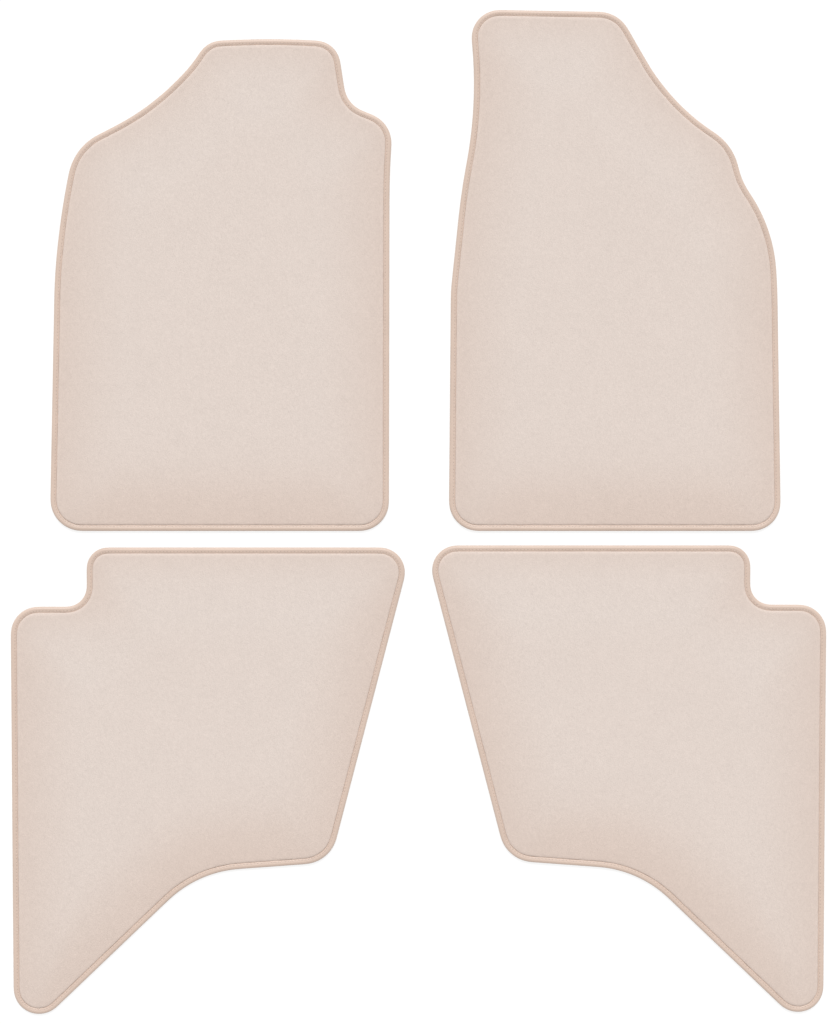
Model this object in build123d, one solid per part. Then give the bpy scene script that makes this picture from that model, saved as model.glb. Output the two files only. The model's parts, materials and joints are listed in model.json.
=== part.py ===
from build123d import *
import os

# A set of four bound velour floor mats for a two-row cab, laid out flat as they lie in the
# vehicle. +Y points to the front of the vehicle, +X to its right and +Z up. The origin is on
# the floor, at the middle of the laid-out set.
#
# Each mat is the same sandwich: an anti-slip rubber backing, a woven carrier and a velour
# pile, wrapped round the edge by a folded binding tape. One lockstitch seam holds the tape:
# its needle thread lies in a groove on top, and its bobbin thread in a groove underneath.

# Heights above the floor
TAPE_THICKNESS = 0.8
BORDER_HEIGHT = 5.4
CARRIER_BOTTOM = 2.2
CARRIER_TOP = 3.2
PILE_TOP = 7.0

# Distances inwards from the outline
BORDER_WIDTH = 8.5
SEAM_INSET = 6.1

# Rounded edges
BORDER_ROUNDING = 1.9
PILE_ROUNDING = 1.6

# The two sewing threads
THREAD_WIDTH = 0.6
THREAD_HEIGHT = 0.3

# Room between curved side walls that face each other
CLEARANCE = 0.05

# Where each row of mats starts, before the set is centred on the origin
FRONT_ROW_REAR_EDGE = -28
REAR_LEFT_FRONT_EDGE = -52
REAR_RIGHT_FRONT_EDGE = -49

LEFT = -1
RIGHT = 1

# Outlines. Each corner is (outwards from the cab's centre line, forwards from the row's
# edge, fillet radius), in order round the mat.
DRIVER_CORNERS = [
    (43, 0, 42),  # rear inner corner
    (42, 520, 1100),  # the inner side bends in a little
    (37, 592, 44),  # shoulder behind the pedals
    (104, 619, 42),  # root of the pedal cut-out
    (118, 710, 36),  # front inner corner
    (206, 715, 1100),  # crown of the front edge
    (307, 711, 38),  # front outer corner
    (329, 676, 180),  # sweep round the wheel arch, upper part
    (391, 613, 350),  # sweep round the wheel arch, lower part
    (500, 557, 80),  # shoulder behind the wheel arch
    (518, 467, 1100),  # the outer side widens towards the rear
    (528, 376, 830),
    (535, 0, 45),  # rear outer corner
]
PASSENGER_CORNERS = [
    (44, 0, 42),  # rear inner corner
    (47, 349, 220),  # the inner side follows the console
    (62, 492, 950),
    (86, 622, 620),
    (73, 757, 40),  # front inner corner
    (290, 753, 48),  # front outer corner
    (343, 661, 280),  # sweep round the wheel arch, upper part
    (389, 605, 300),  # sweep round the wheel arch, lower part
    (457, 560, 80),  # shoulder behind the wheel arch
    (469, 508, 100),  # hollow at the door post
    (516, 438, 223),  # second shoulder
    (521, 349, 840),
    (526, 0, 41),  # rear outer corner
]
REAR_CORNERS = [
    (587, -726, 37),  # toe of the wing
    (320, -471, 165),  # hollow in the rear edge
    (128, -457, 50),  # rear inner corner
    (9, 0, 36),  # front inner corner
    (482, 0, 30),  # front outer corner
    (481, -86, 29),  # root of the step at the sill
    (592, -86, 39),  # front corner of the wing beside the sill
]
MATS = {
    "driver": (DRIVER_CORNERS, LEFT, FRONT_ROW_REAR_EDGE),
    "passenger": (PASSENGER_CORNERS, RIGHT, FRONT_ROW_REAR_EDGE),
    "rear_left": (REAR_CORNERS, LEFT, REAR_LEFT_FRONT_EDGE),
    "rear_right": (REAR_CORNERS, RIGHT, REAR_RIGHT_FRONT_EDGE),
}


def mat_corners(corners, side, row_edge):
    """A mat's corners as (point, radius), anticlockwise, before the set is centred."""
    placed = [(Vector(side * x, row_edge + y), radius) for x, y, radius in corners]
    return placed if side == LEFT else placed[::-1]


def outline_face(corners, distance=0):
    """The flat face inside the outline that the corners give, drawn in by a distance all round."""
    points = []
    radii = []
    for i, (corner, radius) in enumerate(corners):
        arriving = (corner - corners[i - 1][0]).normalized()
        leaving = (corners[(i + 1) % len(corners)][0] - corner).normalized()
        inwards = (arriving + leaving).rotate(Axis.Z, 90)
        points.append(corner + inwards * (distance / (1 + arriving.dot(leaving))))
        turns_in = arriving.cross(leaving).Z > 0
        radii.append(radius - distance if turns_in else radius + distance)
    return make_face(FilletPolyline(*points, radius=radii, close=True))


def slab(corners, distance, low, high):
    """A plate between two heights, with the outline drawn in by a distance all round."""
    face = Pos(0, 0, low) * outline_face(corners, distance)
    return extrude(face, amount=high - low, dir=(0, 0, 1))


def rim_edges(solid, end):
    """The edges round the bottom (end 0) or the top (end -1) of a solid."""
    return solid.edges().group_by(Axis.Z)[end]


def seam_band(corners, margin, low, high):
    """A ring centred on the seam line, with a margin each side of the thread."""
    reach = THREAD_WIDTH / 2 + margin
    inside = slab(corners, SEAM_INSET + reach, low, high)
    return slab(corners, SEAM_INSET - reach, low, high) - inside


def rubber_backing(corners):
    """The backing: full depth inside the tape, and thinner over the tape's lower leg."""
    margin = slab(corners, TAPE_THICKNESS + CLEARANCE, TAPE_THICKNESS, CARRIER_BOTTOM)
    return margin + slab(corners, BORDER_WIDTH + CLEARANCE, 0, CARRIER_BOTTOM)


def woven_carrier(corners):
    """The flat cloth that the pile is tufted through."""
    return slab(corners, TAPE_THICKNESS + CLEARANCE, CARRIER_BOTTOM, CARRIER_TOP)


def velour_pile(corners):
    """The pile: crushed flat under the tape's upper leg, and standing up inside it."""
    crushed_top = BORDER_HEIGHT - TAPE_THICKNESS
    crushed = slab(corners, TAPE_THICKNESS + CLEARANCE, CARRIER_TOP, crushed_top)
    standing = slab(corners, BORDER_WIDTH + CLEARANCE, CARRIER_TOP, PILE_TOP)
    return crushed + fillet(rim_edges(standing, -1), PILE_ROUNDING)


def edge_binding(corners):
    """The tape: folded round the edge into a C, with a seam groove in each leg."""
    wrapped = slab(corners, 0, 0, BORDER_HEIGHT)
    wrapped = fillet(rim_edges(wrapped, 0) + rim_edges(wrapped, -1), BORDER_ROUNDING)
    wrapped -= slab(corners, BORDER_WIDTH, 0, BORDER_HEIGHT)
    wrapped -= slab(corners, TAPE_THICKNESS, TAPE_THICKNESS, BORDER_HEIGHT - TAPE_THICKNESS)
    wrapped -= seam_band(corners, CLEARANCE, BORDER_HEIGHT - THREAD_HEIGHT, BORDER_HEIGHT)
    return wrapped - seam_band(corners, CLEARANCE, 0, THREAD_HEIGHT)


def needle_thread(corners):
    """The upper thread of the seam, lying in the tape's upper groove."""
    return seam_band(corners, 0, BORDER_HEIGHT - THREAD_HEIGHT, BORDER_HEIGHT)


def bobbin_thread(corners):
    """The lower thread of the seam, held just clear of the floor in the lower groove."""
    return seam_band(corners, 0, CLEARANCE, THREAD_HEIGHT)


LAYERS = {
    "rubber_backing": rubber_backing,
    "woven_carrier": woven_carrier,
    "velour_pile": velour_pile,
    "edge_binding": edge_binding,
    "needle_thread": needle_thread,
    "bobbin_thread": bobbin_thread,
}

mats = {name: mat_corners(*mat) for name, mat in MATS.items()}
layout = Compound(children=[outline_face(corners) for corners in mats.values()])
middle = layout.bounding_box().center()

os.makedirs("parts", exist_ok=True)
for mat_name, corners in mats.items():
    centred = [(point - middle, radius) for point, radius in corners]
    for layer_name, make_layer in LAYERS.items():
        export_step(make_layer(centred), f"parts/{mat_name}_{layer_name}.step")
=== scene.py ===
import json
import math

import bmesh
import bpy
import numpy as np
from bpy.props import FloatProperty, FloatVectorProperty, IntProperty, PointerProperty
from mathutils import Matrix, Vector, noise
from mathutils.kdtree import KDTree

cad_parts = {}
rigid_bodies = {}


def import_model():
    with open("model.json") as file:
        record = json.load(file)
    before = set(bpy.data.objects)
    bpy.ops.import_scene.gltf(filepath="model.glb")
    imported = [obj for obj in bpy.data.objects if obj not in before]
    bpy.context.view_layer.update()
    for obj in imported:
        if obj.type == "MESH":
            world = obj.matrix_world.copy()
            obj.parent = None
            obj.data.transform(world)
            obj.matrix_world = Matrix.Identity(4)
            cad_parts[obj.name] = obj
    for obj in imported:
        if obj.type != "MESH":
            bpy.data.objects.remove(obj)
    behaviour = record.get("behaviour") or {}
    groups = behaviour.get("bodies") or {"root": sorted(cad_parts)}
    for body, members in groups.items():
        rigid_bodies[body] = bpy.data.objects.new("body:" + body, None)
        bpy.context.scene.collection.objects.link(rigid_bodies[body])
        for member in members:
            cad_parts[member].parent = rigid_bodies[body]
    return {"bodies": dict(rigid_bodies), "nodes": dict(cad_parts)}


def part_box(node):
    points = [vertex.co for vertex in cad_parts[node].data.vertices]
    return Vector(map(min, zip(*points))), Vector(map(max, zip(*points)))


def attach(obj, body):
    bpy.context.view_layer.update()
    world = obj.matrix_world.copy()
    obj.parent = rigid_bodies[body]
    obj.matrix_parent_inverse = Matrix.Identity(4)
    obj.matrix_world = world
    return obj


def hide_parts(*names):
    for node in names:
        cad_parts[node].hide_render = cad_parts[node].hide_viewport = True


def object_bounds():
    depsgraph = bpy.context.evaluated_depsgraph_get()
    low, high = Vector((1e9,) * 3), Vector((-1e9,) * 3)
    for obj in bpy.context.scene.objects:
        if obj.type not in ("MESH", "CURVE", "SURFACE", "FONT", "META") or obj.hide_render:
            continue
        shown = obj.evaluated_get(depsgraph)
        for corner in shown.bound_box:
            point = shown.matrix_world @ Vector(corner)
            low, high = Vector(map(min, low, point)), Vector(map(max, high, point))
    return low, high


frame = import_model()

bl_info = {
    "name": "Bound Floor Mats",
    "version": (1, 0, 0),
    "blender": (4, 5, 0),
    "location": "View3D > Sidebar > Floor Mats",
    "description": "Makes a set of velour floor mats with sewn edge bindings",
    "category": "Object",
}

MM = 0.001
CAD_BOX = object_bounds()
MATS = [body.removesuffix("_mat") for body in frame["bodies"]]
TAPE_BOX, THREAD_BOX, PILE_BOX = (
    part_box(f"{MATS[0]}_{node}") for node in ("edge_binding", "needle_thread", "velour_pile"))
# The seam runs along the middle of the CAD model's thread, which has this half width.
HALF_THREAD = 0.3 * MM
SEAM_INSET = TAPE_BOX[1].x - THREAD_BOX[1].x + HALF_THREAD
PILE_HIGH = PILE_BOX[1].z
# Points nearer than this are one point, and a cut snaps to points nearer than the second.
SAME_POINT, SAME_CUT = 0.001 * MM, 0.0001 * MM


# ---------------------------------------------------------------- settings


class MatSizes(bpy.types.PropertyGroup):
    """Sizes that every mat of the set shares."""

    seam_inset: FloatProperty(
        name="Seam Inset", description="How far the seam lies inside the outer edge",
        default=SEAM_INSET, unit="LENGTH")
    stitch_length: FloatProperty(
        name="Stitch Length", description="Distance from one needle hole to the next",
        default=5 * MM, unit="LENGTH")
    thread_radius: FloatProperty(
        name="Thread Radius", description="Radius of the sewing thread",
        default=0.27 * MM, unit="LENGTH")
    pucker: FloatProperty(
        name="Pucker", description="How deep a stitch pulls the tape down at a needle hole",
        default=0.22 * MM, unit="LENGTH")
    ripple: FloatProperty(
        name="Ripple", description="Height of a mat's waves, from the lowest to the highest",
        default=1.0 * MM, unit="LENGTH")
    pile_cell: FloatProperty(
        name="Pile Cell", description="Size of the faces of the pile's upper surface",
        default=4 * MM, unit="LENGTH")
    nib_pitch: FloatProperty(
        name="Nib Pitch", description="Distance between the nibs of the backing",
        default=9 * MM, unit="LENGTH")
    nib_radius: FloatProperty(
        name="Nib Radius", description="Radius of a nib where it leaves the backing",
        default=1.1 * MM, unit="LENGTH")
    stations_per_stitch: IntProperty(
        name="Stations per Stitch", description="Cross sections of the binding along one stitch",
        default=4, min=2)


class MatColours(bpy.types.PropertyGroup):
    """Colours of the materials, as linear red, green and blue."""

    velour: FloatVectorProperty(
        name="Velour", description="Colour of the pile in the middle of a mat",
        default=(0.697, 0.604, 0.549), subtype="COLOR", min=0, max=1)
    # Painted shade: the darker, warmer colour that the pile is painted with near its edge.
    velour_edge_shade: FloatVectorProperty(
        name="Velour Edge", description="Colour of the pile near the binding",
        default=(0.660, 0.546, 0.482), subtype="COLOR", min=0, max=1)
    binding: FloatVectorProperty(
        name="Binding", description="Colour of the folded tape",
        default=(0.642, 0.500, 0.417), subtype="COLOR", min=0, max=1)
    thread: FloatVectorProperty(
        name="Thread", description="Colour of the sewing thread",
        default=(0.75, 0.61, 0.53), subtype="COLOR", min=0, max=1)
    rubber: FloatVectorProperty(
        name="Rubber", description="Colour of the anti-slip backing",
        default=(0.045, 0.043, 0.041), subtype="COLOR", min=0, max=1)
    carrier: FloatVectorProperty(
        name="Carrier", description="Colour of the woven carrier cloth",
        default=(0.55, 0.46, 0.38), subtype="COLOR", min=0, max=1)


class StageSettings(bpy.types.PropertyGroup):
    """The floor, the lights and the camera."""

    floor_size: FloatProperty(
        name="Floor Size", description="Width of the square floor", default=80, unit="LENGTH")
    floor_colour: FloatVectorProperty(
        name="Floor Colour", description="Colour of the plain floor",
        default=(0.25, 0.25, 0.25), subtype="COLOR", min=0, max=1)
    lens: FloatProperty(
        name="Lens", description="Focal length of the camera, in millimetres", default=100)
    margin: FloatProperty(
        name="Margin", description="Height of the camera's view over the length of the set",
        default=1.0189)
    floor_glow: FloatProperty(
        name="Floor Glow", description="Light that the floor gives out, as a light table does",
        default=0.77)
    key_strength: FloatProperty(
        name="Key Strength", description="Strength of the main light, from the front of the set",
        default=2.05)
    key_height: FloatProperty(
        name="Key Height", description="Angle of the main light above the floor",
        default=math.radians(50), subtype="ANGLE")
    key_spread: FloatProperty(
        name="Key Spread", description="Angle that the main light fills, for soft shadows",
        default=math.radians(24), subtype="ANGLE")
    sky: FloatProperty(
        name="Sky", description="Strength of the even light from all round", default=0.61)
    backdrop: FloatProperty(
        name="Backdrop", description="Brightness of the plain backdrop behind the floor",
        default=1.05)


# ---------------------------------------------------------------- cross sections


# The tape's outer skin from the lower leg's inner edge, round the roll, to the upper leg's
# lip, as (inwards, height) in millimetres. The bobbin thread pulls a valley into the lower leg.
TAPE_OUTSIDE = [
    (8.4, 0.15), (7.2, 0.02), (6.1, 0.28), (5.0, 0.02), (2.6, 0.0), (0.8, 0.5), (0.05, 1.6),
    (0.0, 2.7), (0.35, 3.9), (1.2, 4.95), (2.6, 5.6), (4.1, 5.75), (5.3, 5.56), (6.1, 5.32),
    (6.9, 5.12), (7.8, 4.82), (8.4, 4.42),
]
TAPE_INSIDE = [
    (8.3, 3.95), (6.1, 4.35), (4.1, 4.85), (2.4, 4.7), (1.2, 3.9), (0.85, 2.5), (1.4, 1.15),
    (3.8, 0.82), (8.3, 0.8),
]
# The heights of the two threads, in millimetres.
NEEDLE_HEIGHT, BOBBIN_HEIGHT = 5.36, 0.42
# The pile from its underside, round the crushed margin inside the tape, up past the lip.
PILE_SIDE = [
    (2.6, 3.22), (1.5, 3.4), (1.9, 4.2), (4.1, 4.5), (6.2, 4.0), (8.2, 3.7), (8.5, 4.4),
    (8.7, 4.87), (9.15, 5.32), (9.9, 5.7), (11.0, 6.05), (12.4, 6.24), (14.0, 6.3),
]
CARRIER_SIDE = [(1.6, 2.28), (1.1, 2.5), (1.1, 2.9), (1.6, 3.15)]
BACKING_SIDE = [(2.0, 0.95), (1.3, 1.2), (1.3, 1.9), (2.0, 2.2)]
# The pile stands lower beside the tape, which holds it down, over this width.
CROWN_WIDTH = 60 * MM
# Painted shade: the pile's colour turns darker and warmer over this width at the edge, and falls off
# at this power. The shade this far behind a point adds a share to its own, and the shade ahead takes
# one away, so that the rear edges, which face away from the key light, are painted darker than the
# front ones.
WARM_SHADE_WIDTH, WARM_SHADE_FALL, REAR_REACH, REAR_SHARE = 105 * MM, 1.3, 50 * MM, 0.45
# The pile's own unevenness, as the size of its swells and how high they stand.
NAP_SWELLS = [(34 * MM, 0.10 * MM), (13 * MM, 0.07 * MM)]
# How far a needle hole pulls the tape down, along and across the seam, and how much of that
# shows on the lower leg.
PUCKER_LENGTH, PUCKER_WIDTH, LOWER_LEG_SHARE = 0.9 * MM, 1.1 * MM, 0.4
# The stitches also draw a shallow dimple into the roll outside the seam.
ROLL_CREST, ROLL_WIDTH, ROLL_DIMPLE = 3.0 * MM, 1.6 * MM, 0.05 * MM
# Rows of faces along each span of the tape's outer skin, and the rows before the lip over which the
# lip's painted light rises.
TAPE_PARTS, LIP_ROWS = 2, 5
# Where the cut lip starts, how far it wanders, in how many waves round the mat, and their seed.
LIP_START, LIP_UNEVENNESS, LIP_WAVES, LIP_SEED = 6.5 * MM, 0.12 * MM, (23, 41, 67, 103), 11
# How far the painted shade round a needle hole reaches, and the height that parts the tape's upper
# leg from its lower one.
HOLE_REACH, MID_HEIGHT = 0.5 * MM, 3 * MM
# Steps along one stitch and faces round the thread. A stitch lies a little aslant, bows up over
# the tape and dives into the needle hole over a short reach.
STITCH_STEPS, THREAD_SIDES = 6, 6
THREAD_SLANT, THREAD_BOW, THREAD_DIVE, DIVE_REACH = 0.16 * MM, 0.12 * MM, 0.95 * MM, 0.55 * MM
# The fuzz on the pile's rim: its size, the share of it that goes up and down, and the divisor
# that keeps the size of three neighbours' sum. The second line has the lowest height and the
# furthest distance in that have fuzz, in millimetres, and the seed.
FUZZ_SIZE, FUZZ_LIFT, FUZZ_EVENING = 0.10 * MM, 0.7, 1.7
FUZZ_LOW, FUZZ_FAR, FUZZ_SEED = 4.6, 12, 31
# How many times coarser the grid of cells gets on a side that doesn't show.
COARSE = 3
# A nib's tip as a share of its root, the share of a cell's area that makes it a whole cell, and
# the slope that makes a face the underside.
NIB_TAPER, WHOLE_CELL, FACING_DOWN = 0.45, 0.999, -0.9


# ---------------------------------------------------------------- outlines and heights


# The waves that a mat lies in: waves per metre across and ahead, how fast the phase turns from
# mat to mat, and the share of the ripple's height. The shares add up to less than the middle.
RIPPLE_MIDDLE = 0.55
RIPPLE_WAVES = [(2.7, 0.0, 1.0, 0.18), (0.0, 2.2, 0.6, 0.16), (1.4, 1.8, 2.1, 0.16)]
PHASE_STEP = 1.7
# The step of an outline's stations, the reach of the average that rounds its facets, and half
# the span that gives a station's direction.
LOOP_STEP, LOOP_ROUNDING, HALF_SPAN = 0.6 * MM, 5.6 * MM, 1.5 * MM


class Outline:
    """A mat's outer edge as evenly spaced stations, anticlockwise, with the inward normals."""

    def __init__(self, mat, sizes):
        self.mat = mat
        loop = smooth_loop(cut_loop(f"{mat}_edge_binding"), LOOP_STEP, LOOP_ROUNDING)
        length = loop_length(loop)
        self.stitches = round(length / sizes.stitch_length)
        self.stitch = length / self.stitches
        self.loop = loop
        self.length = length
        self.low, self.high = loop.min(axis=0), loop.max(axis=0)
        self.ripple = sizes.ripple
        self.phase = PHASE_STEP * MATS.index(mat)

    def stations(self, count):
        """Points, inward normals and distances along the edge at that many even stations."""
        along = np.arange(count) * self.length / count
        points = sample_loop(self.loop, along)
        ahead = sample_loop(self.loop, along + HALF_SPAN)
        behind = sample_loop(self.loop, along - HALF_SPAN)
        tangents = ahead - behind
        tangents /= np.linalg.norm(tangents, axis=1)[:, None]
        normals = np.stack([-tangents[:, 1], tangents[:, 0]], axis=1)
        return points, normals, along

    def lift(self, x, y):
        """How far the mat rises off the floor at a point: gentle waves, never down to zero."""
        rise = RIPPLE_MIDDLE
        for across, ahead, turn, share in RIPPLE_WAVES:
            angle = 2 * math.pi * (across * x + ahead * y) + turn * self.phase
            rise = rise + share * np.sin(angle)
        return self.ripple * rise

    def depth_finder(self):
        """A function that says how far inside the outline a point lies, negative outside it."""
        points, normals, _ = self.stations(len(self.loop))
        tree = KDTree(len(points))
        for i, (x, y) in enumerate(points):
            tree.insert((x, y, 0), i)
        tree.balance()

        def depth(x, y):
            nearest, i, away = tree.find((x, y, 0))
            inside = (x - nearest.x) * normals[i][0] + (y - nearest.y) * normals[i][1] > 0
            return away if inside else -away

        return depth


def cut_loop(node):
    """The outermost loop of a CAD node's mesh, cut halfway up its side."""
    low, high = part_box(node)
    bm = bmesh.new()
    bm.from_mesh(frame["nodes"][node].data)
    bmesh.ops.remove_doubles(bm, verts=bm.verts, dist=SAME_POINT)
    bmesh.ops.bisect_plane(
        bm, geom=bm.verts[:] + bm.edges[:] + bm.faces[:], plane_co=(low + high) / 2,
        plane_no=(0, 0, 1), clear_inner=True, clear_outer=True)
    start = max(bm.verts, key=lambda v: v.co.x)
    found, edge, vert = [], start.link_edges[0], start
    while not found or vert is not start:
        found.append((vert.co.x, vert.co.y))
        vert = edge.other_vert(vert)
        edge = next(e for e in vert.link_edges if e is not edge)
    bm.free()
    loop = np.array(found)
    return loop if loop_area(loop) > 0 else loop[::-1]


def loop_length(loop):
    """The length of a closed loop of points."""
    return np.linalg.norm(np.roll(loop, -1, axis=0) - loop, axis=1).sum()


def loop_area(loop):
    """The area inside a closed loop of points, negative if the loop runs clockwise."""
    x, y = loop[:, 0], loop[:, 1]
    return float(np.sum(x * np.roll(y, -1) - y * np.roll(x, -1)) / 2)


def sample_loop(loop, along):
    """Points at the given distances along a closed loop."""
    closed = np.vstack([loop, loop[:1]])
    reach = np.concatenate([[0], np.cumsum(np.linalg.norm(np.diff(closed, axis=0), axis=1))])
    at = np.mod(along, reach[-1])
    return np.stack([np.interp(at, reach, closed[:, i]) for i in (0, 1)], axis=1)


def smooth_loop(loop, step, spread):
    """The loop with even steps, and its facets rounded by a bell-shaped average."""
    length = loop_length(loop)
    count = round(length / step)
    even = sample_loop(loop, np.arange(count) * length / count)
    offsets = np.minimum(np.arange(count), count - np.arange(count)) * step
    weights = bell(offsets, spread)
    weights = np.fft.fft(weights / weights.sum())
    return np.stack([np.fft.ifft(np.fft.fft(even[:, i]) * weights).real for i in (0, 1)], axis=1)


def bell(distance, width):
    """A smooth bump: 1 at no distance, and nearly 0 beyond twice the width."""
    return np.exp(-((distance / width) ** 2))


def wander(along, length, waves, seed):
    """A slow random wave along a closed edge, about 1 high, that meets itself."""
    chance = np.random.default_rng(seed)
    total = np.zeros_like(along)
    for wave in waves:
        total += np.sin(2 * math.pi * wave * along / length + chance.uniform(0, 2 * math.pi))
    return total / math.sqrt(len(waves))


# ---------------------------------------------------------------- mesh tools


def curve_through(points, parts):
    """A smooth open line through (inwards, height) points, with each span in that many parts."""
    points = np.array(points, float)
    before = np.vstack([2 * points[0] - points[1], points[:-1]])
    after = np.vstack([points[1:], 2 * points[-1] - points[-2]])
    slopes = (after - before) / 2
    line = [points[0]]
    for i in range(len(points) - 1):
        for t in np.arange(1, parts + 1) / parts:
            line.append(
                (2 * t**3 - 3 * t**2 + 1) * points[i] + (t**3 - 2 * t**2 + t) * slopes[i]
                + (3 * t**2 - 2 * t**3) * points[i + 1] + (t**3 - t**2) * slopes[i + 1])
    return np.array(line)


def sweep(bm, rows, closed):
    """Extrudes a ring of edges through rows of points, one row after another.

    rows is a list of (count, 3) arrays. Each vertex keeps its station and row, and the UV map
    holds them, so that a pattern follows the edge. Returns the first and last rings' edges."""
    station_layer = bm.verts.layers.int.get("station") or bm.verts.layers.int.new("station")
    row_layer = bm.verts.layers.int.get("row") or bm.verts.layers.int.new("row")
    verts = [bm.verts.new(point) for point in rows[0]]
    for i, vert in enumerate(verts):
        vert[station_layer] = i
    edges = [bm.edges.new((verts[i - 1], verts[i])) for i in range(len(verts))]
    first = edges
    for k, row in enumerate(rows[1:] + (rows[:1] if closed else []), start=1):
        grown = bmesh.ops.extrude_edge_only(bm, edges=edges)["geom"]
        for vert in (item for item in grown if isinstance(item, bmesh.types.BMVert)):
            vert.co = row[vert[station_layer]]
            vert[row_layer] = k
        edges = [
            item for item in grown
            if isinstance(item, bmesh.types.BMEdge)
            and item.verts[0][row_layer] == k and item.verts[1][row_layer] == k]
    write_uv(bm, len(rows[0]), station_layer, row_layer)
    if closed:
        bmesh.ops.remove_doubles(bm, verts=bm.verts, dist=SAME_POINT)
    return first, edges


def write_uv(bm, count, station_layer, row_layer):
    """A UV map with U as the share of the way round and V as the row."""
    uv_layer = bm.loops.layers.uv.verify()
    for face in bm.faces:
        spans = {vert[station_layer] for vert in face.verts}
        wraps = 0 in spans and count - 1 in spans
        for corner in face.loops:
            station = corner.vert[station_layer]
            if wraps and station == 0:
                station = count
            corner[uv_layer].uv = (station / count, corner.vert[row_layer])


def fill_with_grid(bm, edges, cell):
    """Closes a ring with one face, and cuts that face into square cells."""
    made = bmesh.ops.contextual_create(bm, geom=edges)
    pieces = made["faces"] + list({vert for edge in edges for vert in edge.verts}) + edges
    corners = np.array([vert.co for edge in edges for vert in edge.verts])
    low, high = corners.min(axis=0), corners.max(axis=0)
    for axis, normal in ((0, (1, 0, 0)), (1, (0, 1, 0))):
        for place in np.arange(low[axis] + cell / 2, high[axis], cell):
            middle = [0, 0, 0]
            middle[axis] = place
            cut = bmesh.ops.bisect_plane(
                bm, geom=pieces, dist=SAME_CUT, plane_co=middle, plane_no=normal)
            pieces = cut["geom"]


def finish_mesh(bm, name, outline):
    """Lifts the mesh onto the mat's ripple, turns its faces outwards and makes its object."""
    for vert in bm.verts:
        vert.co.z += outline.lift(vert.co.x, vert.co.y)
    bmesh.ops.recalc_face_normals(bm, faces=bm.faces)
    for face in bm.faces:
        face.smooth = True
    mesh = bpy.data.meshes.new(name)
    bm.to_mesh(mesh)
    bm.free()
    return place_in_scene(name, mesh)


def place_in_scene(name, content):
    """A new object with the given content, linked to the scene."""
    thing = bpy.data.objects.new(name, content)
    bpy.context.scene.collection.objects.link(thing)
    return thing


def ring_rows(outline, count, section, wobble=None):
    """Rows of points for sweep: the section's (inwards, height) points carried round the mat."""
    points, normals, _ = outline.stations(count)
    rows = []
    for k, (inwards, height) in enumerate(section):
        inset = inwards + (wobble[k][0] if wobble else 0)
        rise = height + (wobble[k][1] if wobble else 0)
        flat = points + normals * np.broadcast_to(inset, (count,))[:, None]
        rows.append(np.column_stack([flat, np.broadcast_to(rise, (count,))]))
    return rows


def dress(piece, mat, node, material):
    """Gives a piece its material and its body, and hides the CAD node that it stands for."""
    piece.data.materials.append(material)
    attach(piece, f"{mat}_mat")
    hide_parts(f"{mat}_{node}")
    return piece


# ---------------------------------------------------------------- shared shader effects


def add_node(tree, kind, inputs=None, **settings):
    """Adds a node, sets it up, and gives each named input a value or joins it to a socket."""
    made = tree.nodes.new(kind)
    for name, value in settings.items():
        setattr(made, name, value)
    for name, value in (inputs or {}).items():
        if isinstance(value, bpy.types.NodeSocket):
            tree.links.new(value, made.inputs[name])
        else:
            made.inputs[name].default_value = value
    return made


def calculate(tree, operation, first, second=0.0):
    """A Math node's result."""
    return add_node(tree, "ShaderNodeMath", {0: first, 1: second}, operation=operation).outputs[0]


def mix_colour(tree, factor, first, second, blend="MIX", clamp=True):
    """A colour mixed from two by a factor, which may pass 0 and 1 where clamp is False.

    A Mix node's sockets repeat their names, so its colour sockets go by number."""
    made = add_node(
        tree, "ShaderNodeMix", {0: factor, 6: first, 7: second},
        data_type="RGBA", blend_type=blend, clamp_factor=clamp)
    return made.outputs[2]


def shaded(tree, colour, shade):
    """A colour made lighter or darker by a number."""
    grey = add_node(tree, "ShaderNodeCombineColor", {0: shade, 1: shade, 2: shade}).outputs[0]
    return mix_colour(tree, 1.0, colour, grey, "MULTIPLY")


def remap(tree, value, from_low, from_high, to_low, to_high):
    """A value carried from one range to another, and held at its ends."""
    made = add_node(
        tree, "ShaderNodeMapRange",
        {0: value, 1: from_low, 2: from_high, 3: to_low, 4: to_high})
    return made.outputs[0]


def new_group(name, inputs, outputs):
    """An empty shader node group with number inputs (name, default) and number outputs."""
    tree = bpy.data.node_groups.new(name, "ShaderNodeTree")
    for label, default in inputs:
        socket = tree.interface.new_socket(
            name=label, in_out="INPUT", socket_type="NodeSocketFloat")
        socket.default_value = default
    for label in outputs:
        tree.interface.new_socket(name=label, in_out="OUTPUT", socket_type="NodeSocketFloat")
    return tree, tree.nodes.new("NodeGroupInput"), tree.nodes.new("NodeGroupOutput")


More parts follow.
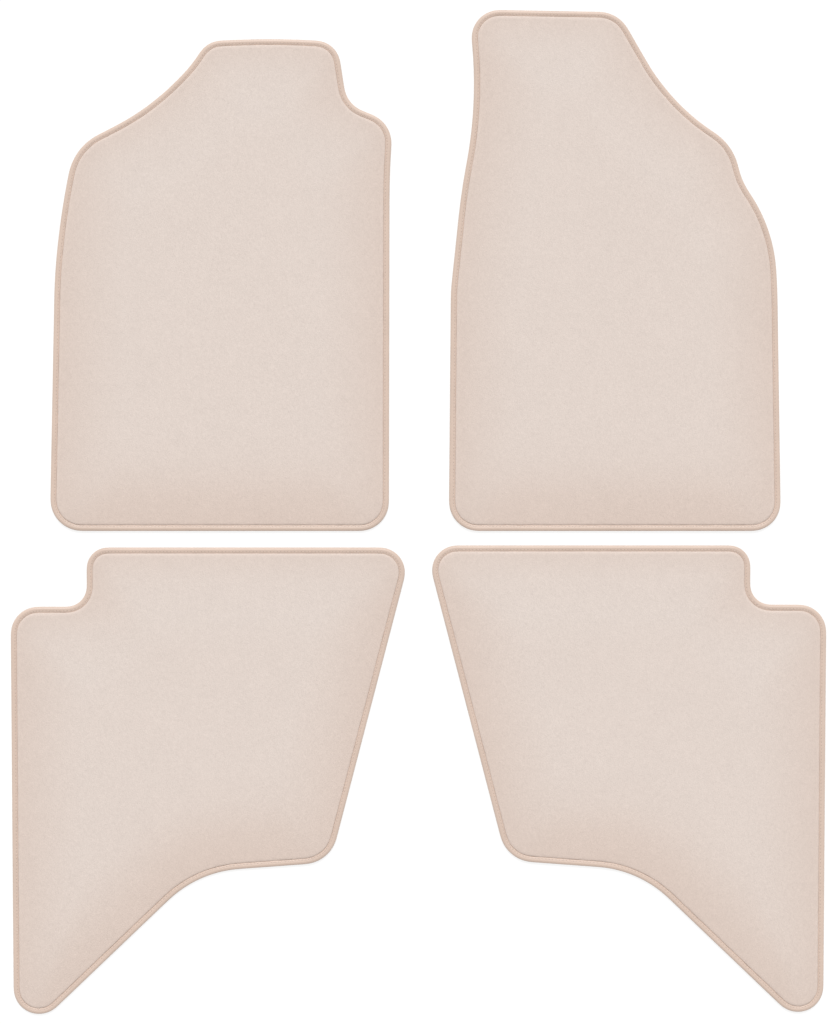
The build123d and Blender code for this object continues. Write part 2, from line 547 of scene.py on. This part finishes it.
def fibre_group():
    """Soft fibres: a fine speckle, tufts that lean together, broader blotches, and a height."""
    grains = (("Speckle", 1.2 * MM, 1.0), ("Tufts", 4 * MM, 0.7), ("Blotches", 12 * MM, 0.5))
    tree, given, result = new_group(
        "Fibre Mottle", [(f"{name} Size", size) for name, size, _ in grains] + [("Stretch", 1.6)],
        [name for name, _, _ in grains] + ["Height"])
    place = add_node(tree, "ShaderNodeTexCoord").outputs["Object"]
    squeeze = add_node(
        tree, "ShaderNodeCombineXYZ", {"X": 1.0, "Z": 1.0, "Y": calculate(
            tree, "DIVIDE", 1.0, given.outputs["Stretch"])})
    along_nap = add_node(
        tree, "ShaderNodeVectorMath", {0: place, 1: squeeze.outputs[0]}, operation="MULTIPLY")
    height = 0.0
    for name, _, share in grains:
        pattern = add_node(
            tree, "ShaderNodeTexNoise",
            {"Vector": along_nap.outputs[0], "Detail": 3.0, "Roughness": 0.6, "Distortion": 0.4,
             "Scale": calculate(tree, "DIVIDE", 1.0, given.outputs[f"{name} Size"])})
        tree.links.new(pattern.outputs["Fac"], result.inputs[name])
        height = calculate(
            tree, "ADD", height, calculate(tree, "MULTIPLY", pattern.outputs["Fac"], share))
    tree.links.new(height, result.inputs["Height"])


def tone_group():
    """A slow change of tone over a piece, as dye lots and handling leave it."""
    tree, given, result = new_group("Slow Tone", [("Patch Size", 90 * MM)], ["Tone"])
    place = add_node(tree, "ShaderNodeTexCoord").outputs["Object"]
    patches = add_node(
        tree, "ShaderNodeTexNoise",
        {"Vector": place, "Detail": 2.0, "Roughness": 0.5,
         "Scale": calculate(tree, "DIVIDE", 1.0, given.outputs["Patch Size"])})
    tree.links.new(patches.outputs["Fac"], result.inputs["Tone"])


def place_group(tree, group, **inputs):
    """A shared group placed in a material, with its own values."""
    made = tree.nodes.new("ShaderNodeGroup")
    made.node_tree = bpy.data.node_groups[group]
    for name, value in inputs.items():
        made.inputs[name.replace("_", " ")].default_value = value
    return made.outputs


def new_material(name, **constants):
    """A material with one Principled shader, and the constants set on the shader's sockets."""
    material = bpy.data.materials.new(name)
    material.use_nodes = True
    tree = material.node_tree
    tree.nodes.clear()
    shader = tree.nodes.new("ShaderNodeBsdfPrincipled")
    for label, value in constants.items():
        shader.inputs[label.replace("_", " ")].default_value = value
    output = tree.nodes.new("ShaderNodeOutputMaterial")
    tree.links.new(shader.outputs[0], output.inputs["Surface"])
    return material, tree, shader


def join_bump(tree, shader, height, strength, distance):
    """Feeds a height to the shader's normal through a Bump node."""
    bump = add_node(
        tree, "ShaderNodeBump", {"Height": height, "Strength": strength, "Distance": distance})
    tree.links.new(bump.outputs[0], shader.inputs["Normal"])


def opaque(colour, tone=1.0):
    """A colour with full alpha, made lighter or darker by a tone."""
    return (*(min(1.0, part * tone) for part in colour), 1.0)


# ---------------------------------------------------------------- materials


# Where most of a noise texture's values lie, a narrower band for the velour's slow tone, and
# where a cell texture's distances lie.
NOISE_BAND, TONE_BAND, CELL_BAND = (0.3, 0.7), (0.35, 0.65), (0.0, 0.8)
# How much each pattern of the velour lightens and darkens it, and the painted highlight on its
# rounded rim, which lightens the crease beside the tape, from full to none between two distances
# inside the edge.
VELOUR_SPREADS = (("Speckle", 0.06), ("Tufts", 0.028), ("Blotches", 0.012))
VELOUR_TONES = (0.996, 1.004)
RIM_LIGHT, RIM_FULL, RIM_NONE = 0.05, 8 * MM, 14 * MM
# The tape's darker and lighter tones, the painted light on its lip that lightens the crease, the
# painted shade of a needle hole and how much of it shows.
TAPE_DARK, TAPE_LIGHT, LIP_PAINTED_LIGHT, HOLE_SHADE, HOLE_SHARE = 0.97, 1.03, 1.10, 0.30, 0.6
# The size of a grain, and the roughness from its middle to the furrow round it.
GRAIN_SIZE, GRAIN_ROUGHNESS = 0.9 * MM, (0.48, 0.36)
PEBBLE_SIZE, PEBBLE_ROUGHNESS = 1.4 * MM, (0.62, 0.8)
# Turns that the thread's plies take in one length of the seam.
THREAD_TURNS = 3600
# The tones of a thread's fibres, the rubber's lighter tone and the floor's darker one.
THREAD_TONES, RUBBER_LIGHT, FLOOR_DARK = (0.9, 1.05), 1.5, 0.995
# The carrier's yarns lie two to this pitch, and are painted darker where they dip, as painted shade.
WEAVE_PITCH, WEAVE_SHADES, YARN_SPREAD = 2.2 * MM, (0.72, 1.0), 0.06
# How far the camera sees, which is past the floor's end.
SIGHT = 100


def velour_material(colours):
    """Dense cut pile: speckle, blotches, a darker and warmer painted shade near the binding, a
    painted rim highlight.
    """
    material, tree, shader = new_material(
        "pile_finish", Roughness=0.95, Sheen_Weight=0.35, Sheen_Roughness=0.55,
        Sheen_Tint=opaque((1.0, 0.93, 0.87)), Specular_IOR_Level=0.15)
    fibres = place_group(
        tree, "Fibre Mottle", Speckle_Size=1.2 * MM, Tufts_Size=4 * MM, Blotches_Size=14 * MM)
    tone = place_group(tree, "Slow Tone", Patch_Size=120 * MM)["Tone"]
    edge = add_node(tree, "ShaderNodeAttribute", attribute_name="edge_distance").outputs["Fac"]
    # Painted shade: the pile's colour turns darker and warmer towards its edge, and more so at the
    # rear edges.
    warm_edge_shade = add_node(tree, "ShaderNodeAttribute", attribute_name="warm_edge_shade").outputs["Fac"]
    base = mix_colour(tree, warm_edge_shade, opaque(colours.velour), opaque(colours.velour_edge_shade), clamp=False)
    # The shade holds a slow random tone, the painted highlight on the rim, and the fibre patterns
    # below.
    shade = calculate(
        tree, "ADD", remap(tree, tone, *TONE_BAND, *VELOUR_TONES),
        remap(tree, edge, RIM_FULL, RIM_NONE, RIM_LIGHT, 0.0))
    for name, spread in VELOUR_SPREADS:
        shade = calculate(
            tree, "ADD", shade, remap(tree, fibres[name], *NOISE_BAND, -spread, spread))
    tree.links.new(shaded(tree, base, shade), shader.inputs["Base Color"])
    join_bump(tree, shader, fibres["Height"], strength=0.6, distance=0.8 * MM)
    return material


def binding_material(colours):
    """Leatherette tape: fine grain, painted shade at the needle holes, painted light on the lip by
    the crease.
    """
    material, tree, shader = new_material(
        "tape_finish", Sheen_Weight=0.12, Sheen_Roughness=0.4, Specular_IOR_Level=0.4)
    place = add_node(tree, "ShaderNodeTexCoord").outputs["Object"]
    grain = add_node(
        tree, "ShaderNodeTexVoronoi", {"Vector": place, "Scale": 1 / GRAIN_SIZE},
        feature="F1").outputs["Distance"]
    tone = place_group(tree, "Slow Tone", Patch_Size=60 * MM)["Tone"]
    hole = add_node(tree, "ShaderNodeAttribute", attribute_name="needle_hole_shade").outputs["Fac"]
    base = mix_colour(
        tree, remap(tree, tone, *NOISE_BAND, 0.0, 1.0), opaque(colours.binding, TAPE_DARK),
        opaque(colours.binding, TAPE_LIGHT))
    surface = add_node(tree, "ShaderNodeUVMap", uv_map="UVMap").outputs[0]
    row = add_node(tree, "ShaderNodeSeparateXYZ", {0: surface}).outputs["Y"]
    # Painted light: the tape turns paler over the rows next to its lip, which lightens the crease
    # beside the pile.
    lip_row = TAPE_PARTS * (len(TAPE_OUTSIDE) - 1)
    lip = remap(tree, row, lip_row - LIP_ROWS, lip_row - 1, 0.0, 1.0)
    base = mix_colour(tree, lip, base, opaque(colours.binding, LIP_PAINTED_LIGHT))
    # Painted shade: the tape turns dark at each needle hole, where the mesh has only a pucker.
    base = mix_colour(
        tree, calculate(tree, "MULTIPLY", hole, HOLE_SHARE), base,
        opaque(colours.binding, HOLE_SHADE))
    tree.links.new(base, shader.inputs["Base Color"])
    roughness = remap(tree, grain, *CELL_BAND, *GRAIN_ROUGHNESS)
    tree.links.new(roughness, shader.inputs["Roughness"])
    join_bump(tree, shader, grain, strength=0.25, distance=0.12 * MM)
    return material


def thread_material(colours):
    """Twisted polyester thread."""
    material, tree, shader = new_material(
        "thread_finish", Sheen_Weight=0.3, Sheen_Roughness=0.35, Roughness=0.55)
    surface = add_node(tree, "ShaderNodeUVMap", uv_map="UVMap").outputs[0]
    fibres = place_group(tree, "Fibre Mottle", Speckle_Size=0.25 * MM)
    split = add_node(tree, "ShaderNodeSeparateXYZ", {0: surface})
    turns = calculate(tree, "MULTIPLY", split.outputs["X"], 2 * math.pi * THREAD_TURNS)
    around = calculate(tree, "MULTIPLY", split.outputs["Y"], 2 * math.pi / THREAD_SIDES)
    twist = calculate(tree, "SINE", calculate(tree, "ADD", turns, around))
    shade = remap(tree, fibres["Speckle"], *NOISE_BAND, *THREAD_TONES)
    tree.links.new(shaded(tree, opaque(colours.thread), shade), shader.inputs["Base Color"])
    join_bump(tree, shader, twist, strength=0.4, distance=0.06 * MM)
    return material


def rubber_material(colours):
    """Matt anti-slip rubber with a faint pebbled skin."""
    material, tree, shader = new_material("rubber_finish", Specular_IOR_Level=0.35)
    place = add_node(tree, "ShaderNodeTexCoord").outputs["Object"]
    pebbles = add_node(
        tree, "ShaderNodeTexVoronoi", {"Vector": place, "Scale": 1 / PEBBLE_SIZE},
        feature="SMOOTH_F1").outputs["Distance"]
    tone = place_group(tree, "Slow Tone", Patch_Size=70 * MM)["Tone"]
    base = mix_colour(
        tree, remap(tree, tone, *NOISE_BAND, 0.0, 1.0), opaque(colours.rubber),
        opaque(colours.rubber, RUBBER_LIGHT))
    tree.links.new(base, shader.inputs["Base Color"])
    roughness = remap(tree, pebbles, *CELL_BAND, *PEBBLE_ROUGHNESS)
    tree.links.new(roughness, shader.inputs["Roughness"])
    join_bump(tree, shader, pebbles, strength=0.3, distance=0.15 * MM)
    return material


def carrier_material(colours):
    """Plain woven carrier cloth, with painted shade where its yarns dip."""
    material, tree, shader = new_material("carrier_finish", Roughness=0.85, Sheen_Weight=0.2)
    place = add_node(tree, "ShaderNodeTexCoord").outputs["Object"]
    split = add_node(tree, "ShaderNodeSeparateXYZ", {0: place})
    turn = 2 * math.pi / WEAVE_PITCH
    warp = calculate(tree, "SINE", calculate(tree, "MULTIPLY", split.outputs["X"], turn))
    weft = calculate(tree, "SINE", calculate(tree, "MULTIPLY", split.outputs["Y"], turn))
    weave = calculate(tree, "MULTIPLY", warp, weft)
    fibres = place_group(tree, "Fibre Mottle", Speckle_Size=0.5 * MM)
    # Painted shade where the yarns dip, and a random speckle of the yarns.
    shade = calculate(
        tree, "ADD", remap(tree, weave, -1.0, 1.0, *WEAVE_SHADES),
        remap(tree, fibres["Speckle"], *NOISE_BAND, -YARN_SPREAD, YARN_SPREAD))
    tree.links.new(shaded(tree, opaque(colours.carrier), shade), shader.inputs["Base Color"])
    join_bump(tree, shader, weave, strength=0.5, distance=0.2 * MM)
    return material


def material_called(name):
    """The named material, which is made when a piece first asks for it."""
    makers = {
        "pile_finish": velour_material,
        "tape_finish": binding_material,
        "thread_finish": thread_material,
        "rubber_finish": rubber_material,
        "carrier_finish": carrier_material,
    }
    if "Fibre Mottle" not in bpy.data.node_groups:
        fibre_group()
        tone_group()
    found = bpy.data.materials.get(name)
    return found or makers[name](bpy.context.scene.floor_mat_colours)


# ---------------------------------------------------------------- pieces


def in_metres(section):
    """A cross section's points, given in millimetres."""
    return [(inwards * MM, height * MM) for inwards, height in section]


def make_binding(outline, sizes):
    """The folded tape, with puckers at the needle holes and a slightly uneven lip."""
    count = outline.stitches * sizes.stations_per_stitch
    _, _, along = outline.stations(count)
    from_hole = np.abs((along / outline.stitch + 0.5) % 1 - 0.5) * outline.stitch
    at_hole = bell(from_hole, PUCKER_LENGTH)
    outside = curve_through(in_metres(TAPE_OUTSIDE), TAPE_PARTS)
    section = [*outside, *in_metres(TAPE_INSIDE)]
    uneven = wander(along, outline.length, LIP_WAVES, LIP_SEED + MATS.index(outline.mat))
    wobble = []
    masks = []
    for k, (inwards, height) in enumerate(section):
        outer_skin = k < len(outside)
        from_seam = inwards - sizes.seam_inset
        pull = sizes.pucker * bell(from_seam, PUCKER_WIDTH)
        pull += ROLL_DIMPLE * bell(inwards - ROLL_CREST, ROLL_WIDTH)
        into_tape = -1 if height > MID_HEIGHT else LOWER_LEG_SHARE
        lip = LIP_UNEVENNESS * uneven * (inwards > LIP_START)
        wobble.append((lip, into_tape * pull * outer_skin * at_hole))
        # The painted shade of the needle holes, as a mask that the tape's material reads.
        masks.append(outer_skin * bell(from_seam, HOLE_REACH) * bell(from_hole, HOLE_REACH))
    bm = bmesh.new()
    sweep(bm, ring_rows(outline, count, section, wobble), closed=True)
    holes = bm.verts.layers.float.new("needle_hole_shade")
    station, row = bm.verts.layers.int["station"], bm.verts.layers.int["row"]
    for vert in bm.verts:
        vert[holes] = masks[vert[row] % len(section)][vert[station]]
    piece = finish_mesh(bm, f"{outline.mat}_binding", outline)
    return dress(
        piece, outline.mat, "edge_binding",
        material_called("tape_finish"))


def make_stitches(outline, sizes, name, node, surface, side):
    """One row of stitches: a thread that bows over the tape and dives at each needle hole.

    side is 1 for the upper thread and -1 for the lower one."""
    count = outline.stitches * STITCH_STEPS
    _, _, along = outline.stations(count)
    share = (along / outline.stitch) % 1
    from_hole = np.minimum(share, 1 - share) * outline.stitch
    slant = THREAD_SLANT * (share - 0.5)
    bow = surface + side * (THREAD_BOW - THREAD_DIVE * bell(from_hole, DIVE_REACH))
    section = []
    for k in range(THREAD_SIDES):
        angle = 2 * math.pi * k / THREAD_SIDES
        section.append((
            sizes.seam_inset + slant + sizes.thread_radius * math.cos(angle),
            bow + sizes.thread_radius * math.sin(angle)))
    bm = bmesh.new()
    sweep(bm, ring_rows(outline, count, section), closed=True)
    piece = finish_mesh(bm, f"{outline.mat}_{name}", outline)
    return dress(piece, outline.mat, node, material_called("thread_finish"))


def make_slab(outline, side, cell, per_stitch, fuzz=None, lower_cell=None):
    """A closed layer: a side ring swept round the mat, with a grid above and one below.

    per_stitch is the number of the ring's stations along one stitch of the seam."""
    count = outline.stitches * per_stitch
    bm = bmesh.new()
    wobble = fuzz(outline, count) if fuzz else None
    bottom, top = sweep(bm, ring_rows(outline, count, in_metres(side), wobble), closed=False)
    fill_with_grid(bm, top, cell)
    fill_with_grid(bm, bottom, lower_cell or COARSE * cell)
    bmesh.ops.recalc_face_normals(bm, faces=bm.faces)
    return bm


def pile_fuzz(outline, count):
    """Small random shifts that keep the pile's rim from being a machined edge."""
    chance = np.random.default_rng(FUZZ_SEED + MATS.index(outline.mat))
    shifts = []
    for inwards, height in PILE_SIDE:
        size = FUZZ_SIZE * (height > FUZZ_LOW) * (inwards < FUZZ_FAR)
        rough = chance.normal(0, 1, (2, count))
        rough = (rough + np.roll(rough, 1, axis=1) + np.roll(rough, -1, axis=1)) / FUZZ_EVENING
        shifts.append((size * rough[0], FUZZ_LIFT * size * rough[1]))
    return shifts


def warm_shade_at(depth):
    """How much darker and warmer painted shade the pile takes at a depth inside the outline: 1 at
    the edge, 0 well inside.
    """
    return min(1, max(0, 1 - depth / WARM_SHADE_WIDTH)) ** WARM_SHADE_FALL


def make_pile(outline, sizes):
    """The velour: crushed under the tape, and standing up inside it with a rounded rim."""
    bm = make_slab(outline, PILE_SIDE, sizes.pile_cell, per_stitch=2, fuzz=pile_fuzz)
    edge = bm.verts.layers.float.new("edge_distance")
    warm_edge_shade = bm.verts.layers.float.new("warm_edge_shade")
    depth = outline.depth_finder()
    rim, rim_height = PILE_SIDE[-1][0] * MM, PILE_SIDE[-1][1] * MM
    for vert in bm.verts:
        inwards = depth(vert.co.x, vert.co.y)
        vert[edge] = inwards
        # Painted shade, stronger on the rear edges, which face away from the key light, and weaker
        # on the front ones.
        behind = warm_shade_at(depth(vert.co.x, vert.co.y - REAR_REACH))
        ahead = warm_shade_at(depth(vert.co.x, vert.co.y + REAR_REACH))
        vert[warm_edge_shade] = warm_shade_at(inwards) + REAR_SHARE * (behind - ahead)
        if vert.co.z > rim_height - SAME_POINT:
            near = max(0, 1 - (inwards - rim) / CROWN_WIDTH)
            crown = 1 - near**2
            vert.co.z += (PILE_HIGH - rim_height) * crown
            for size, height in NAP_SWELLS:
                vert.co.z += height * crown * noise.noise(vert.co / size)
    piece = finish_mesh(bm, f"{outline.mat}_pile", outline)
    return dress(piece, outline.mat, "velour_pile", material_called("pile_finish"))


def make_backing(outline, sizes):
    """The rubber sheet, with a small blunt nib drawn down from every whole cell of its grid."""
    bm = make_slab(
        outline, BACKING_SIDE, COARSE * sizes.pile_cell, per_stitch=1,
        lower_cell=sizes.nib_pitch)
    whole = WHOLE_CELL * sizes.nib_pitch**2
    clear_of_tape = TAPE_OUTSIDE[0][0] * MM + 2 * sizes.nib_radius
    depth = outline.depth_finder()
    cells = []
    for face in bm.faces:
        if face.normal.z < FACING_DOWN and len(face.verts) == 4 and face.calc_area() > whole:
            x, y, _ = face.calc_center_median()
            if depth(x, y) > clear_of_tape:
                cells.append(face)
    bmesh.ops.inset_individual(
        bm, faces=cells, thickness=sizes.nib_pitch / 2 - sizes.nib_radius, use_even_offset=True)
    tips = bmesh.ops.extrude_discrete_faces(bm, faces=cells)["faces"]
    for tip in tips:
        middle = tip.calc_center_median()
        for vert in tip.verts:
            vert.co = middle + NIB_TAPER * (vert.co - middle)
            vert.co.z = 0
    piece = finish_mesh(bm, f"{outline.mat}_backing", outline)
    return dress(
        piece, outline.mat, "rubber_backing",
        material_called("rubber_finish"))


def make_carrier(outline, sizes):
    """The woven carrier cloth between the pile and the rubber."""
    bm = make_slab(outline, CARRIER_SIDE, COARSE * sizes.pile_cell, per_stitch=1)
    piece = finish_mesh(bm, f"{outline.mat}_carrier", outline)
    return dress(
        piece, outline.mat, "woven_carrier", material_called("carrier_finish"))


def each_outline(context):
    """Every mat's outline, in order."""
    sizes = context.scene.floor_mat_sizes
    return [(Outline(mat, sizes), sizes) for mat in MATS]


# ---------------------------------------------------------------- stage


def floor_material(colour, glow):
    """A plain pale floor that gives out a little light of its own."""
    material, tree, shader = new_material(
        "plain_floor", Roughness=0.9, Specular_IOR_Level=0.1, Emission_Strength=glow,
        Emission_Color=(1.0, 1.0, 1.0, 1.0))
    tone = place_group(tree, "Slow Tone", Patch_Size=0.6)["Tone"]
    base = mix_colour(
        tree, remap(tree, tone, *NOISE_BAND, 0.0, 1.0), opaque(colour, FLOOR_DARK),
        opaque(colour))
    tree.links.new(base, shader.inputs["Base Color"])
    return material


def make_floor(settings):
    """The pale floor."""
    bm = bmesh.new()
    bmesh.ops.create_grid(bm, x_segments=1, y_segments=1, size=settings.floor_size / 2)
    mesh = bpy.data.meshes.new("floor")
    bm.to_mesh(mesh)
    bm.free()
    mesh.materials.append(floor_material(settings.floor_colour, settings.floor_glow))
    place_in_scene("floor", mesh)


def make_key_light(settings):
    """A soft main light from the front of the set."""
    key = bpy.data.lights.new("key_light", "SUN")
    key.energy = settings.key_strength
    key.angle = settings.key_spread
    place_in_scene("key_light", key).rotation_euler.x = settings.key_height - math.pi / 2


def make_sky(settings):
    """Even light from all round, which the camera sees as a plain backdrop."""
    world = bpy.data.worlds.new("even_sky")
    world.use_nodes = True
    tree = world.node_tree
    sky = tree.nodes["Background"]
    sky.inputs["Color"].default_value = (1.0, 1.0, 1.0, 1.0)
    seen = add_node(tree, "ShaderNodeLightPath").outputs["Is Camera Ray"]
    strength = remap(tree, seen, 0.0, 1.0, settings.sky, settings.backdrop)
    tree.links.new(strength, sky.inputs["Strength"])
    bpy.context.scene.world = world


def make_camera(settings):
    """A camera straight above the set."""
    camera = bpy.data.cameras.new("camera")
    camera.lens = settings.lens
    camera.clip_end = SIGHT
    low, high = CAD_BOX
    distance = (high.y - low.y) * settings.margin * camera.lens / camera.sensor_width
    thing = place_in_scene("camera", camera)
    thing.location = (0, 0, PILE_HIGH + distance)
    bpy.context.scene.camera = thing


# ---------------------------------------------------------------- operators


class FLOORMATS_OT_backings(bpy.types.Operator):
    """Make the nibbed rubber backing of every mat"""

    bl_idname = "floor_mats.make_backings"
    bl_label = "Rubber Backings"

    def execute(self, context):
        for outline, sizes in each_outline(context):
            make_backing(outline, sizes)
        return {"FINISHED"}


class FLOORMATS_OT_carriers(bpy.types.Operator):
    """Make the woven carrier cloth of every mat"""

    bl_idname = "floor_mats.make_carriers"
    bl_label = "Woven Carriers"

    def execute(self, context):
        for outline, sizes in each_outline(context):
            carrier = make_carrier(outline, sizes)
        return {"FINISHED"}


class FLOORMATS_OT_bindings(bpy.types.Operator):
    """Make the folded leatherette binding of every mat"""

    bl_idname = "floor_mats.make_bindings"
    bl_label = "Edge Bindings"

    def execute(self, context):
        for outline, sizes in each_outline(context):
            make_binding(outline, sizes)
        return {"FINISHED"}


class FLOORMATS_OT_seams(bpy.types.Operator):
    """Make the upper and lower rows of stitches of every binding"""

    bl_idname = "floor_mats.make_seams"
    bl_label = "Seams"

    def execute(self, context):
        for outline, sizes in each_outline(context):
            make_stitches(
                outline, sizes, "needle_stitches", "needle_thread", NEEDLE_HEIGHT * MM, 1)
            make_stitches(
                outline, sizes, "bobbin_stitches", "bobbin_thread", BOBBIN_HEIGHT * MM, -1)
        return {"FINISHED"}


class FLOORMATS_OT_piles(bpy.types.Operator):
    """Make the velour pile of every mat"""

    bl_idname = "floor_mats.make_piles"
    bl_label = "Velour Piles"

    def execute(self, context):
        for outline, sizes in each_outline(context):
            pile = make_pile(outline, sizes)
        return {"FINISHED"}


class FLOORMATS_OT_stage(bpy.types.Operator):
    """Make the floor, the lights and the camera"""

    bl_idname = "floor_mats.make_stage"
    bl_label = "Stage"

    def execute(self, context):
        settings = context.scene.floor_mat_stage
        context.scene.view_settings.view_transform = "Standard"
        make_floor(settings)
        make_key_light(settings)
        make_sky(settings)
        make_camera(settings)
        return {"FINISHED"}


STEPS = (
    FLOORMATS_OT_backings,
    FLOORMATS_OT_carriers,
    FLOORMATS_OT_bindings,
    FLOORMATS_OT_seams,
    FLOORMATS_OT_piles,
    FLOORMATS_OT_stage,
)


class FLOORMATS_PT_panel(bpy.types.Panel):
    """Settings and steps for the set of mats"""

    bl_idname = "FLOORMATS_PT_panel"
    bl_label = "Floor Mats"
    bl_space_type = "VIEW_3D"
    bl_region_type = "UI"
    bl_category = "Floor Mats"

    def draw(self, context):
        for settings in (
                context.scene.floor_mat_sizes, context.scene.floor_mat_colours,
                context.scene.floor_mat_stage):
            column = self.layout.column(align=True)
            for name in type(settings).__annotations__:
                column.prop(settings, name)
        for step in STEPS:
            self.layout.operator(step.bl_idname)


CLASSES = (MatSizes, MatColours, StageSettings, *STEPS, FLOORMATS_PT_panel)


def register():
    for cls in CLASSES:
        bpy.utils.register_class(cls)
    bpy.types.Scene.floor_mat_sizes = PointerProperty(type=MatSizes)
    bpy.types.Scene.floor_mat_colours = PointerProperty(type=MatColours)
    bpy.types.Scene.floor_mat_stage = PointerProperty(type=StageSettings)


def unregister():
    del bpy.types.Scene.floor_mat_stage
    del bpy.types.Scene.floor_mat_colours
    del bpy.types.Scene.floor_mat_sizes
    for cls in reversed(CLASSES):
        bpy.utils.unregister_class(cls)


def main():
    register()
    bpy.ops.floor_mats.make_backings()
    bpy.ops.floor_mats.make_carriers()
    bpy.ops.floor_mats.make_bindings()
    bpy.ops.floor_mats.make_seams()
    bpy.ops.floor_mats.make_piles()
    bpy.ops.floor_mats.make_stage()


if __name__ == "__main__":
    main()
